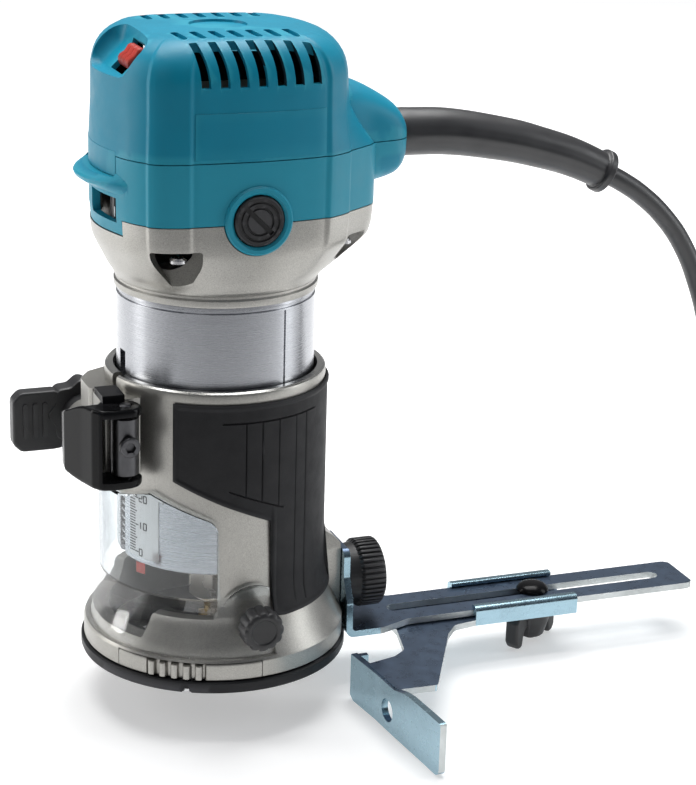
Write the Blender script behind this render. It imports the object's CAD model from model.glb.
import bpy
import bmesh
import math
from mathutils import Vector, Matrix


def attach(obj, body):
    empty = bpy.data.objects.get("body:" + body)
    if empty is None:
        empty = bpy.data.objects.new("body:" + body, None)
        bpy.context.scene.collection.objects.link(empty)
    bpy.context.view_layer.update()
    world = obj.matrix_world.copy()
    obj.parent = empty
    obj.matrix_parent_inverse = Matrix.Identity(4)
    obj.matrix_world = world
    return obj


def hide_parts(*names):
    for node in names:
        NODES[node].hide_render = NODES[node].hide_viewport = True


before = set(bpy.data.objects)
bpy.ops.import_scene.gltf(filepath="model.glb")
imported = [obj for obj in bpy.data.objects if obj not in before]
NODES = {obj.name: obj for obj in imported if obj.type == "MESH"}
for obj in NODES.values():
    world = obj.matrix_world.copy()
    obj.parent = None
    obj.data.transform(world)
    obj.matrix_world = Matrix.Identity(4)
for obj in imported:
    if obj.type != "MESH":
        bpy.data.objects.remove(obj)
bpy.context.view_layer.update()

OFF = Vector((-60.6, 18.8, 17.0))      # working frame (mm) -> row frame
MM = 0.001
SCN = bpy.context.scene


# ================================================================ camera
YAWT = math.radians(17.0)              # the tool is turned this far against the camera's frame
PITCH, YAW, ROLL = math.radians(18.02), math.radians(3.80), math.radians(1.59)


def to_tool(v):
    return Matrix.Rotation(-YAWT, 3, "Z") @ Vector(v)


fwd = Vector((math.sin(YAW) * math.cos(PITCH), math.cos(YAW) * math.cos(PITCH), -math.sin(PITCH)))
right = Vector((math.cos(YAW), -math.sin(YAW), 0.0))
up = right.cross(fwd)
r2 = math.cos(ROLL) * right + math.sin(ROLL) * up
u2 = -math.sin(ROLL) * right + math.cos(ROLL) * up
cdat = bpy.data.cameras.new("view_camera")
cam = bpy.data.objects.new("view_camera", cdat)
SCN.collection.objects.link(cam)
rot = Matrix((to_tool(r2), to_tool(u2), to_tool(-fwd))).transposed()
cam.matrix_world = Matrix.Translation((to_tool((-1.7, -695.0, 317.0)) + OFF) * MM) @ rot.to_4x4()
cdat.sensor_width = 36.0
cdat.lens = 2202.0 / 785.0 * 36.0
cdat.shift_x = -1.0 / 785.0
cdat.shift_y = -4.5 / 785.0
cdat.clip_start = 0.02
SCN.camera = cam

# ================================================================ node materials
def mat(name):
    m = bpy.data.materials.new(name)
    m.use_nodes = True
    nt = m.node_tree
    return m, nt, nt.nodes["Principled BSDF"]


def coord(nt, scale=(1, 1, 1)):
    tc = nt.nodes.new("ShaderNodeTexCoord")
    mp = nt.nodes.new("ShaderNodeMapping")
    mp.inputs["Scale"].default_value = scale
    nt.links.new(tc.outputs["Object"], mp.inputs["Vector"])
    return mp.outputs["Vector"]


def noise(nt, vec, scale, detail=3.0, rough=0.6):
    n = nt.nodes.new("ShaderNodeTexNoise")
    n.inputs["Scale"].default_value = scale
    n.inputs["Detail"].default_value = detail
    n.inputs["Roughness"].default_value = rough
    nt.links.new(vec, n.inputs["Vector"])
    return n.outputs["Fac"]


def ramp(nt, fac, stops):
    r = nt.nodes.new("ShaderNodeValToRGB")
    el = r.color_ramp.elements
    while len(el) < len(stops):
        el.new(0.5)
    for e, (p, c) in zip(el, stops):
        e.position = p
        e.color = (*c, 1.0) if len(c) == 3 else c
    nt.links.new(fac, r.inputs["Fac"])
    return r.outputs["Color"]


def rerange(nt, fac, a, b, lo=0.3, hi=0.7):
    m = nt.nodes.new("ShaderNodeMapRange")
    m.inputs["From Min"].default_value = lo
    m.inputs["From Max"].default_value = hi
    m.inputs["To Min"].default_value = a
    m.inputs["To Max"].default_value = b
    nt.links.new(fac, m.inputs["Value"])
    return m.outputs["Result"]


def bump(nt, bsdf, height, strength, dist, normal=None):
    b = nt.nodes.new("ShaderNodeBump")
    b.inputs["Strength"].default_value = strength
    b.inputs["Distance"].default_value = dist
    nt.links.new(height, b.inputs["Height"])
    if normal is not None:
        nt.links.new(normal, b.inputs["Normal"])
    nt.links.new(b.outputs["Normal"], bsdf.inputs["Normal"])
    return b.outputs["Normal"]


def mixc(nt, fac, a, b):
    m = nt.nodes.new("ShaderNodeMix")
    m.data_type = "RGBA"
    for sock, v in ((m.inputs[0], fac), (m.inputs[6], a), (m.inputs[7], b)):
        if isinstance(v, (int, float)):
            sock.default_value = v
        elif isinstance(v, tuple):
            sock.default_value = (*v, 1.0)
        else:
            nt.links.new(v, sock)
    return m.outputs[2]


def edges(nt, lo=0.52, hi=0.60):
    """Worn, lighter edges: mask from the mesh's own sharpness."""
    g = nt.nodes.new("ShaderNodeNewGeometry")
    return rerange(nt, g.outputs["Pointiness"], 0.0, 1.0, lo, hi)


def plastic(name, rgb, rough=0.38, grain=1400.0, depth=0.00004, var=0.12, edge=0.25, spec=0.5, coat=0.0,
            strength=0.35, edge_rgb=None):
    """Moulded plastic: fine spark-eroded grain, faint mottling, slightly polished edges."""
    m, nt, b = mat(name)
    v = coord(nt)
    big = noise(nt, v, 38.0, 4.0)
    dark = tuple(c * (1 - var) for c in rgb)
    lite = tuple(min(1, c * (1 + var)) for c in rgb)
    col = ramp(nt, big, [(0.32, dark), (0.68, lite)])
    if edge > 0:
        er = edge_rgb or tuple(min(1, c * 1.6 + 0.02) for c in rgb)
        e = edges(nt)
        em = nt.nodes.new("ShaderNodeMath")
        em.operation = "MULTIPLY"
        em.inputs[1].default_value = edge
        nt.links.new(e, em.inputs[0])
        col = mixc(nt, em.outputs[0], col, er)
    nt.links.new(col, b.inputs["Base Color"])
    nt.links.new(rerange(nt, noise(nt, v, 160.0, 3.0), rough - 0.05, rough + 0.07), b.inputs["Roughness"])
    bump(nt, b, noise(nt, v, grain, 2.0), strength, depth)
    b.inputs["Specular IOR Level"].default_value = spec
    b.inputs["Coat Weight"].default_value = coat
    b.inputs["Coat Roughness"].default_value = 0.06
    return m


def painted_cast(name, rgb, lo, rough=0.42, metal=0.55):
    """Silver paint with fine flakes over a blasted casting."""
    m, nt, b = mat(name)
    v = coord(nt)
    flake = noise(nt, v, 4200.0, 2.0, 0.6)
    col = ramp(nt, flake, [(0.30, lo), (0.50, rgb), (0.72, tuple(min(1, c * 1.3) for c in rgb))])
    cloud = ramp(nt, noise(nt, v, 45.0, 4.0), [(0.3, (0.86, 0.86, 0.85)), (0.7, (1.0, 1.0, 1.0))])
    mm = nt.nodes.new("ShaderNodeMix")
    mm.data_type = "RGBA"
    mm.blend_type = "MULTIPLY"
    mm.inputs[0].default_value = 1.0
    nt.links.new(col, mm.inputs[6])
    nt.links.new(cloud, mm.inputs[7])
    nt.links.new(mm.outputs[2], b.inputs["Base Color"])
    nt.links.new(rerange(nt, flake, rough - 0.08, rough + 0.10), b.inputs["Roughness"])
    b.inputs["Metallic"].default_value = metal
    bump(nt, b, noise(nt, v, 900.0, 4.0, 0.7), 0.35, 0.00006)
    return m


def metal(name, rgb, rough=0.25, stretch=(1, 1, 1), grain=900.0, depth=0.00002, var=0.1, strength=0.25, metallic=1.0):
    """Machined or plated metal with directional grain."""
    m, nt, b = mat(name)
    v = coord(nt, stretch)
    n = noise(nt, v, grain, 3.0)
    w = coord(nt)
    big = noise(nt, w, 60.0, 4.0)
    col = ramp(nt, big, [(0.3, tuple(c * (1 - var) for c in rgb)), (0.7, tuple(min(1, c * (1 + var)) for c in rgb))])
    nt.links.new(col, b.inputs["Base Color"])
    b.inputs["Metallic"].default_value = metallic
    nt.links.new(rerange(nt, n, rough - 0.06, rough + 0.08), b.inputs["Roughness"])
    bump(nt, b, n, strength, depth)
    return m


def turned_metal(name, rgb, rough=0.2, pitch=0.00045):
    """Lathe-turned aluminium: a fine groove every turn of the feed, along Z."""
    m, nt, b = mat(name)
    v = coord(nt)
    sep = nt.nodes.new("ShaderNodeSeparateXYZ")
    nt.links.new(v, sep.inputs[0])
    mu = nt.nodes.new("ShaderNodeMath")
    mu.operation = "MULTIPLY"
    mu.inputs[1].default_value = 2 * math.pi / pitch
    nt.links.new(sep.outputs["Z"], mu.inputs[0])
    si = nt.nodes.new("ShaderNodeMath")
    si.operation = "SINE"
    nt.links.new(mu.outputs[0], si.inputs[0])
    v2 = coord(nt, (40.0, 40.0, 5200.0))
    streak = noise(nt, v2, 1.0, 3.0)
    add = nt.nodes.new("ShaderNodeMath")
    add.operation = "MULTIPLY_ADD"
    add.inputs[1].default_value = 0.35
    nt.links.new(si.outputs[0], add.inputs[0])
    nt.links.new(streak, add.inputs[2])
    col = ramp(nt, streak, [(0.3, tuple(c * 0.86 for c in rgb)), (0.7, rgb)])
    nt.links.new(col, b.inputs["Base Color"])
    b.inputs["Metallic"].default_value = 1.0
    nt.links.new(rerange(nt, streak, rough - 0.04, rough + 0.08), b.inputs["Roughness"])
    b.inputs["Anisotropic"].default_value = 0.85
    b.inputs["Anisotropic Rotation"].default_value = 0.25
    tan = nt.nodes.new("ShaderNodeTangent")
    tan.direction_type = "RADIAL"
    tan.axis = "Z"
    nt.links.new(tan.outputs["Tangent"], b.inputs["Tangent"])
    bump(nt, b, add.outputs[0], 0.10, 0.00002)
    return m


TEAL_RGB = (0.0, 0.225, 0.345)
M = {}
M["teal"] = plastic("teal_shell", TEAL_RGB, 0.42, 1500.0, 0.00003, 0.05, 0.30, 0.32, edge_rgb=(0.05, 0.42, 0.52))
M["teal_in"] = plastic("teal_shell_inside", (0.0, 0.02, 0.03), 0.7, edge=0.0)
M["void"] = plastic("dark_cavity", (0.006, 0.007, 0.008), 0.75, edge=0.0)
M["cast"] = painted_cast("silver_painted_casting", (0.42, 0.41, 0.385), (0.30, 0.295, 0.275), 0.36, 0.85)
M["cast_dark"] = painted_cast("pocket_paint", (0.17, 0.165, 0.15), (0.10, 0.10, 0.09), 0.5, 0.4)
M["machined"] = metal("machined_face", (0.56, 0.555, 0.53), 0.24, (60, 60, 4000), 1.0, 0.00002, 0.08)
M["turned"] = turned_metal("turned_barrel", (0.43, 0.44, 0.465), 0.24)
M["black"] = plastic("black_nylon", (0.016, 0.016, 0.017), 0.42, 1300.0, 0.00005, 0.15, 0.5, edge_rgb=(0.07, 0.07, 0.075))
M["grip"] = plastic("grip_elastomer_skin", (0.012, 0.012, 0.0135), 0.62, 2000.0, 0.00009, 0.14, 0.4, 0.30,
                    strength=0.7, edge_rgb=(0.07, 0.07, 0.075))
M["gloss"] = plastic("gloss_black_lever", (0.004, 0.004, 0.0045), 0.20, 500.0, 0.00001, 0.1, 0.2, 0.13, 0.0,
                     strength=0.15, edge_rgb=(0.05, 0.05, 0.055))
M["rubber"] = plastic("cord_rubber_skin", (0.015, 0.015, 0.017), 0.42, 900.0, 0.00004, 0.15, 0.2, 0.8,
                      edge_rgb=(0.05, 0.05, 0.055))
M["red"] = plastic("coral_red_switch", (0.40, 0.030, 0.018), 0.42, 900.0, 0.00004, 0.08, 0.2, 0.3, edge_rgb=(0.6, 0.12, 0.08))
M["sole"] = plastic("sole_phenolic", (0.012, 0.0125, 0.014), 0.45, 1000.0, 0.00004, 0.12, 0.4, 0.22,
                    edge_rgb=(0.10, 0.10, 0.11))
M["zinc_top"] = metal("zinc_top_face", (0.115, 0.16, 0.235), 0.30, (1, 1, 1), 260.0, 0.00001, 0.12, 0.10, 0.85)
M["zinc"] = metal("zinc_plate", (0.33, 0.48, 0.56), 0.24, (1, 1, 1), 300.0, 0.00001, 0.07, 0.08)
M["zinc_cut"] = metal("zinc_cut_edge", (0.55, 0.58, 0.58), 0.42, (1, 1, 1), 1700.0, 0.00025, 0.2, 0.9)
M["steel"] = metal("steel_part", (0.56, 0.56, 0.57), 0.26, (1, 1, 1), 900.0, 0.00002, 0.1)
M["steel_dark"] = metal("blackened_steel", (0.10, 0.10, 0.105), 0.35, (1, 1, 1), 900.0, 0.00003, 0.15)
M["chrome"] = metal("ground_steel", (0.78, 0.73, 0.66), 0.25, (1, 1, 1), 120.0, 0.00001, 0.08, 0.05)
M["brass"] = metal("brass_part", (0.70, 0.50, 0.22), 0.3)
M["copper"] = metal("copper_winding", (0.62, 0.28, 0.13), 0.38, (1, 1, 260), 6.0, 0.0002, 0.2, 0.8)
M["carbide"] = metal("carbide_edge", (0.62, 0.45, 0.20), 0.3, (1, 1, 1), 700.0, 0.00003, 0.12)
M["carbon"] = plastic("carbon_block", (0.02, 0.02, 0.02), 0.8, 2500.0, 0.0001, 0.2, 0.0)
M["board"] = plastic("circuit_board_lacquer", (0.02, 0.13, 0.06), 0.4, 400.0, 0.0001, 0.3, 0.2)
M["laminate"] = metal("laminated_iron", (0.36, 0.35, 0.35), 0.4, (1, 1, 2400), 1.0, 0.0001, 0.12, 0.8)
M["white"] = plastic("pad_print_white", (0.80, 0.81, 0.80), 0.5, 900.0, 0.00002, 0.03, 0.0)
M["print"] = plastic("pad_print_black", (0.015, 0.015, 0.017), 0.5, 900.0, 0.00002, 0.1, 0.0)
M["scale"] = metal("scale_strip", (0.50, 0.505, 0.51), 0.34, (1, 1, 60), 60.0, 0.00002, 0.05, metallic=0.7)

for key, name, alpha in (("clear", "clear_guard_plastic", 1.0), ("clear_foot", "clear_guard_foot", 0.2)):
    m, nt, b = mat(name)
    v = coord(nt)
    b.inputs["Transmission Weight"].default_value = 1.0
    b.inputs["IOR"].default_value = 1.45
    b.inputs["Alpha"].default_value = alpha
    lw = nt.nodes.new("ShaderNodeLayerWeight")
    lw.inputs["Blend"].default_value = 0.35
    tint = ramp(nt, noise(nt, v, 30.0), [(0.3, (0.88, 0.93, 0.945)), (0.7, (0.95, 0.97, 0.98))])
    nt.links.new(mixc(nt, rerange(nt, lw.outputs["Facing"], 0.0, 1.0, 0.32, 0.78), tint, (0.03, 0.055, 0.09)), b.inputs["Base Color"])
    nt.links.new(rerange(nt, noise(nt, v, 500.0), 0.01, 0.04), b.inputs["Roughness"])
    bump(nt, b, noise(nt, v, 70.0), 0.16, 0.0003)
    M[key] = m

# ================================================================ mesh tools
def outward(bm):
    bmesh.ops.recalc_face_normals(bm, faces=bm.faces)
    if bm.calc_volume(signed=True) < 0:
        bmesh.ops.reverse_faces(bm, faces=bm.faces)
    return bm


def new_bm(verts, faces):
    bm = bmesh.new()
    vs = [bm.verts.new(v) for v in verts]
    for f in faces:
        try:
            bm.faces.new([vs[i] for i in f])
        except ValueError:
            pass
    return outward(bm)


def loft(rings, cyclic=False, caps=True):
    n = len(rings[0])
    k = len(rings)
    faces = []
    for i in range(k if cyclic else k - 1):
        a, b = i * n, ((i + 1) % k) * n
        for j in range(n):
            faces.append((a + j, a + (j + 1) % n, b + (j + 1) % n, b + j))
    if caps and not cyclic:
        faces.append(tuple(range(n)))
        faces.append(tuple(range((k - 1) * n, k * n)))
    return new_bm([p for r in rings for p in r], faces)


def lathe(profile, n=96, centre=(0, 0), a0=0.0, a1=360.0, wob=None):
    full = abs(a1 - a0 - 360.0) < 1e-6
    steps = n if full else n + 1
    verts, index = [], []
    for r, z in profile:
        if r < 1e-6:
            index.append([len(verts)] * steps)
            verts.append((centre[0], centre[1], z))
        else:
            row = []
            for i in range(steps):
                d = a0 + (a1 - a0) * i / n
                a = math.radians(d)
                rr = r + (wob(r, z, d) if wob else 0.0)
                row.append(len(verts))
                verts.append((centre[0] + rr * math.cos(a), centre[1] + rr * math.sin(a), z))
            index.append(row)
    faces = []
    m = len(profile)
    for j in range(m):
        p, q = index[j], index[(j + 1) % m]
        if profile[j][0] < 1e-6 and profile[(j + 1) % m][0] < 1e-6:
            continue
        for i in range(n):
            i2 = (i + 1) % steps
            ids = []
            for t in (p[i], p[i2], q[i2], q[i]):
                if t not in ids:
                    ids.append(t)
            if len(ids) >= 3:
                faces.append(ids)
    if not full:
        for i in (0, steps - 1):
            ids = []
            for j in range(m):
                if index[j][i] not in ids:
                    ids.append(index[j][i])
            faces.append(ids)
    return new_bm(verts, faces)


def prism(pts, axis, a, b):
    def put(u, v, w):
        return {"x": (w, u, v), "y": (u, w, v), "z": (u, v, w)}[axis]
    return loft([[put(u, v, a) for u, v in pts], [put(u, v, b) for u, v in pts]])


def box(x0, x1, y0, y1, z0, z1):
    return prism([(x0, y0), (x1, y0), (x1, y1), (x0, y1)], "z", z0, z1)


def disc(axis, c, r, a, b, n=48, r2=None):
    r2 = r if r2 is None else r2
    def ring(rr, w):
        out = []
        for i in range(n):
            t = 2 * math.pi * (i + 0.5) / n
            u, v = c[0] + rr * math.cos(t), c[1] + rr * math.sin(t)
            out.append({"x": (w, u, v), "y": (u, w, v), "z": (u, v, w)}[axis])
        return out
    return loft([ring(r, a), ring(r2, b)])


def turned(axis, c, prof, n=64, wob=None):
    bm = lathe(prof, n, wob=wob)
    for v in bm.verts:
        x, y, z = v.co
        v.co = {"x": (z, c[0] + x, c[1] + y), "y": (c[0] + x, z, c[1] + y), "z": (c[0] + x, c[1] + y, z)}[axis]
    return outward(bm)


def strip(angles, section):
    rings = []
    for d in angles:
        a = math.radians(d)
        rings.append([(r * math.cos(a), r * math.sin(a), z) for r, z in section(d)])
    return loft(rings)


def frange(a, b, n):
    return [a + (b - a) * i / n for i in range(n + 1)]


def rounded(pts, rad, k=5):
    """Polygon with its corners rounded; rad is one radius or one per corner."""
    out = []
    n = len(pts)
    for i in range(n):
        r = rad[i] if isinstance(rad, (list, tuple)) else rad
        p = Vector(pts[i])
        a, b = Vector(pts[i - 1]) - p, Vector(pts[(i + 1) % n]) - p
        la, lb = a.length, b.length
        a.normalize()
        b.normalize()
        ang = a.angle(b)
        if r < 1e-6 or ang > math.radians(176):
            out.append(tuple(p))
            continue
        t = min(r / math.tan(ang / 2), la * 0.49, lb * 0.49)
        rr = t * math.tan(ang / 2)
        c = p + (a + b).normalized() * (rr / math.sin(ang / 2))
        s, e = p + a * t - c, p + b * t - c
        a0 = math.atan2(s.y, s.x)
        da = (math.atan2(e.y, e.x) - a0 + math.pi) % (2 * math.pi) - math.pi
        for j in range(k + 1):
            q = a0 + da * j / k
            out.append((c.x + rr * math.cos(q), c.y + rr * math.sin(q)))
    return out


def temp(bm):
    outward(bm)
    me = bpy.data.meshes.new("cutter")
    bm.to_mesh(me)
    bm.free()
    ob = bpy.data.objects.new("cutter", me)
    SCN.collection.objects.link(ob)
    return ob


def combine(bm, tools, op="DIFFERENCE"):
    for t in tools:
        a, b = temp(bm), temp(t)
        mod = a.modifiers.new("cut", "BOOLEAN")
        mod.operation = op
        mod.solver = "EXACT"
        mod.object = b
        dg = bpy.context.evaluated_depsgraph_get()
        me = bpy.data.meshes.new_from_object(a.evaluated_get(dg))
        bm = bmesh.new()
        bm.from_mesh(me)
        for o in (a, b):
            d = o.data
            bpy.data.objects.remove(o, do_unlink=True)
            bpy.data.meshes.remove(d)
        bpy.data.meshes.remove(me)
        bmesh.ops.remove_doubles(bm, verts=bm.verts, dist=0.0008)
        bmesh.ops.dissolve_degenerate(bm, edges=bm.edges, dist=0.0008)
    return bm


def cut(bm, *tools):
    return combine(bm, tools, "DIFFERENCE")


def join(bm, *tools):
    return combine(bm, tools, "UNION")


def both(bm, *tools):
    return combine(bm, tools, "INTERSECT")


def together(*bms):
    """Several closed bodies in one mesh, without a boolean."""
    out = bmesh.new()
    for b in bms:
        me = bpy.data.meshes.new("t")
        b.to_mesh(me)
        b.free()
        out.from_mesh(me)
        bpy.data.meshes.remove(me)
    return out


def show(name, bm, mats, body, nodes=(), bevel=0.0, segs=2, sharp=32.0, pick=None, fix=True, weld=True):
    """Put a mesh in the scene, on its body, in place of its CAD nodes."""
    if fix:
        outward(bm)
    mats = mats if isinstance(mats, (list, tuple)) else [mats]
    bm.faces.ensure_lookup_table()
    for f in bm.faces:
        f.material_index = pick(f) if pick else 0
    for v in bm.verts:
        v.co = (v.co + OFF) * MM
    me = bpy.data.meshes.new(name)
    bm.to_mesh(me)
    bm.free()
    for k in mats:
        me.materials.append(M[k])
    me.shade_smooth()
    me.set_sharp_from_angle(angle=math.radians(sharp))
    ob = bpy.data.objects.new(name, me)
    SCN.collection.objects.link(ob)
    if bevel > 0:
        bv = ob.modifiers.new("edge", "BEVEL")
        bv.width = bevel * MM
        bv.segments = segs
        bv.limit_method = "ANGLE"
        bv.angle_limit = math.radians(38)
        bv.use_clamp_overlap = True
        bv.harden_normals = False
        bv.miter_outer = "MITER_ARC"
        wn = ob.modifiers.new("even_shading", "WEIGHTED_NORMAL")
        wn.keep_sharp = True
        wn.weight = 60
    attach(ob, body)
    if nodes:
        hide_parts(*nodes)
    return ob


def smooth01(t):
    t = min(1.0, max(0.0, t))
    return t * t * (3 - 2 * t)


def catmull(pts, k=6):
    """Dense points on a centripetal Catmull-Rom curve."""
    Q = [Vector(p) for p in pts]
    Q = [2 * Q[0] - Q[1]] + Q + [2 * Q[-1] - Q[-2]]
    out = []
    for i in range(1, len(Q) - 2):
        p0, p1, p2, p3 = Q[i - 1:i + 3]
        t0, t1 = 0.0, (p1 - p0).length ** 0.5
        t2 = t1 + (p2 - p1).length ** 0.5
        t3 = t2 + (p3 - p2).length ** 0.5
        for j in range(k):
            t = t1 + (t2 - t1) * j / k
            a1 = (t1 - t) / (t1 - t0) * p0 + (t - t0) / (t1 - t0) * p1
            a2 = (t2 - t) / (t2 - t1) * p1 + (t - t1) / (t2 - t1) * p2
            a3 = (t3 - t) / (t3 - t2) * p2 + (t - t2) / (t3 - t2) * p3
            b1 = (t2 - t) / (t2 - t0) * a1 + (t - t0) / (t2 - t0) * a2
            b2 = (t3 - t) / (t3 - t1) * a2 + (t - t1) / (t3 - t1) * a3
            out.append((t2 - t) / (t2 - t1) * b1 + (t - t1) / (t2 - t1) * b2)
    out.append(Q[-2])
    return out


# ================================================================ dimensions shared with the CAD
BARREL_R, BARREL_Z0, COLLAR_R, COLLAR_Z = 32.5, 36.5, 33.2, 126.8
CASTING_TOP, PARTING_Z, TOP_Z = 153.7, 173.55, 210.8
SLEEVE_BORE, SLEEVE_R, SLEEVE_TOP = 33.1, 36.3, 100.0
SOLE_R, SOLE_T, SOLE_HOLE, FLAT_X = 45.0, 4.0, 17.0, 43.0
GRIP_R, GUARD_R = 37.6, 38.8
CORD_D, CORD_AXIS_Z = 7.0, 173.5
KNOB_AXIS, BOLT_X, BOLT_Z, PIVOT = (-35.7, 72.0), -37.3, 83.4, (-37.3, -25.0)
CAP_X, SCREW_X = 3.0, 1.8
GUIDE_T, GUIDE_Z, GUIDE_END, GUIDE_HALF = 2.3, 0.3, 181.0, 10.5
SLOT_X0, SLOT_X1, SLOT_HALF = 64.0, 171.0, 2.8
CARR_X0, CARR_X1, CARR_BOLT_X = 92.8, 132.3, 120.5
FLOOR = -17.0
COIL_C, COIL_MID = (283.0, 22.0), 38.5
N = 180

# ================================================================ cord first: strain relief, free run, coil, plug
CORD_BEND = [(33.0, 173.5), (40.0, 173.5), (48.4, 173.5), (49.0, 173.5), (56.0, 173.5), (65.5, 173.4),
             (77.0, 173.0), (86.0, 171.9), (95.4, 170.2), (105.0, 168.2), (114.0, 165.7), (122.5, 163.1),
             (129.5, 160.4), (136.6, 157.1), (137.0, 156.9), (139.2, 155.8)]
BOOT_R = [3.5, 3.5, 3.5, 7.8, 7.9, 7.9, 7.8, 7.6, 7.4, 7.2, 6.9, 6.7, 6.5, 6.3, 7.6, 7.6]
CF = FLOOR + CORD_D / 2 + 0.1
NOTCH_Y = COIL_C[1] - (COIL_MID + CORD_D)
ROUTE = [(139.5, 0.0, 155.6), (146.5, 0.0, 151.9), (154.0, 0.2, 147.0), (163.0, 0.6, 139.2), (172.0, 1.0, 128.0),
         (179.5, 1.2, 113.0), (185.0, 1.0, 96.0), (189.0, 0.2, 76.0), (192.5, -1.4, 54.0), (196.5, -4.0, 32.0),
         (201.5, -7.5, 13.0), (209.0, -12.0, -3.0), (219.5, -16.5, CF + 2.6), (232.0, -20.4, CF + 0.2),
         (246.0, NOTCH_Y + 0.25, CF), (262.0, NOTCH_Y, CF), (COIL_C[0] - 0.6, NOTCH_Y, CF)]
Z1, Z2, Z3 = CF, CF + 7.5, CF + 15.0
PLUG_Z = FLOOR + 1.5 + 3 * CORD_D + 0.3


def coil_at(a):
    """Centre of the cord after it has been wound by a degrees: (r, z)."""
    r = 45.5
    for a0, a1, dr in ((200, 350, -7), (560, 710, -7), (1045, 1195, 7), (1405, 1555, 7), (1865, 2015, -7),
                       (2225, 2375, -7)):
        r += dr * smooth01((a - a0) / (a1 - a0))
    z = Z1 + (Z2 - Z1) * smooth01((a - 820) / 100.0) + (Z3 - Z2) * smooth01((a - 1665) / 100.0)
    z += (PLUG_Z + 4.5 - Z3) * smooth01((a - 2375) / 95.0)
    return r, z


route_pts = [Vector(p) for p in ROUTE]
a = 16.0
END_A = 2700.0
while a < END_A + 0.1:
    r, z = coil_at(a)
    s = smooth01((a - 2455) / (END_A - 2455))
    t = math.radians(a - 90.0)
    cx = COIL_C[0] + 10.0 * s
    r += 7.0 * s
    route_pts.append(Vector((cx + r * math.cos(t), COIL_C[1] + r * math.sin(t), z)))
    a += (END_A - 16.0) / 130.0
route_pts.append(route_pts[-1] + Vector((-6.0, 0, 0)))

curve = bpy.data.curves.new("mains_lead", "CURVE")
curve.dimensions = "3D"
curve.bevel_depth = CORD_D / 2 * MM
curve.bevel_resolution = 6
curve.resolution_u = 8
curve.use_fill_caps = True
sp = curve.splines.new("BEZIER")
sp.bezier_points.add(len(route_pts) - 1)
for q, p in zip(sp.bezier_points, route_pts):
    q.co = (p + OFF) * MM
    q.handle_left_type = q.handle_right_type = "AUTO"
curve.materials.append(M["rubber"])
lead = bpy.data.objects.new("mains_lead", curve)
SCN.collection.objects.link(lead)
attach(lead, "motor")
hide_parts("power_cord", "cord_coil")
bpy.context.view_layer.update()
ev = lead.evaluated_get(bpy.context.evaluated_depsgraph_get())
flat = bpy.data.curves.new("measure", "CURVE")


def bez_len(pts):
    """Length of the auto-handled curve, from a copy without thickness."""
    c = curve.copy()
    c.bevel_depth = 0.0
    o = bpy.data.objects.new("measure", c)
    SCN.collection.objects.link(o)
    bpy.context.view_layer.update()
    me = bpy.data.meshes.new_from_object(o.evaluated_get(bpy.context.evaluated_depsgraph_get()))
    t = 0.0
    for e in me.edges:
        t += (me.vertices[e.vertices[0]].co - me.vertices[e.vertices[1]].co).length
    bpy.data.objects.remove(o, do_unlink=True)
    bpy.data.curves.remove(c)
    bpy.data.meshes.remove(me)
    return t


bpy.data.curves.remove(flat)
LEAD_LEN = bez_len(route_pts)
print("LEAD", LEAD_LEN)

# the strain relief: a long moulded sleeve with a rolled end, flex ribs and a mould seam
def boot():
    path = catmull([(x, 0, z) for x, z in CORD_BEND[3:]], 5)
    xs = [p[0] for p in CORD_BEND[3:]]
    rs = BOOT_R[3:]
    rings = []
    prev = None
    n = 48
    for k, p in enumerate(path):
        q0, q1 = path[max(k - 1, 0)], path[min(k + 1, len(path) - 1)]
        d = (q1 - q0)
        if d.length < 1e-6:
            continue
        d.normalize()
        x = p.x
        r = rs[-1]
        for (xa, ra), (xb, rb) in zip(zip(xs, rs), list(zip(xs, rs))[1:]):
            if xa <= x <= xb + 1e-9:
                r = ra + (rb - ra) * (x - xa) / max(xb - xa, 1e-6)
                break
        if 61.6 < x < 64.8:
            r = 8.0                                   # collar against the housing
        upv = Vector((-d.z, 0, d.x))
        row = []
        for i in range(n):
            t = 2 * math.pi * (i + 0.5) / n
            rr = r
            seam = min(abs(math.degrees(t) - 0), abs(math.degrees(t) - 180), abs(math.degrees(t) - 360))
            if seam < 4.5 and 65 < x < 136:
                rr += 0.28
            row.append(tuple(p + rr * (math.sin(t) * upv + math.cos(t) * Vector((0, 1, 0)))))
        rings.append(row)
    return loft(rings)


boot_ob = show("strain_relief", boot(), "rubber", "motor", ["cord_boot"], sharp=40, bevel=0.45)
tie_x = COIL_C[0] + COIL_MID
tz0, tz1 = FLOOR + 0.2, FLOOR + 1.5 + 21 + 0.9
outer = rounded([(tie_x - 11.8, tz0), (tie_x + 11.8, tz0), (tie_x + 11.8, tz1), (tie_x - 11.8, tz1)], 3.2, 8)
inner = rounded([(tie_x - 10.9, tz0 + 0.9), (tie_x + 10.9, tz0 + 0.9), (tie_x + 10.9, tz1 - 0.9), (tie_x - 10.9, tz1 - 0.9)], 2.6, 8)
tie = cut(prism(outer, "y", COIL_C[1] - 2.9, COIL_C[1] + 2.9), prism(inner, "y", COIL_C[1] - 4, COIL_C[1] + 4))
tie_ob = show("cable_tie", tie, "black", "motor", ["cord_tie"], bevel=0.2)

# mains plug: rounded grip tapering into the lead, two round pins
px0, py0, pz = COIL_C[0] - 34.0, COIL_C[1] + COIL_MID, PLUG_Z


def plug_ring(x, hy, z0, z1, e):
    e = min(e, hy * 0.9, (z1 - z0) / 2 * 0.9)
    return [(x, y, z) for y, z in rounded([(py0 - hy, z0), (py0 + hy, z0), (py0 + hy, z1), (py0 - hy, z1)], e, 6)]


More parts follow.
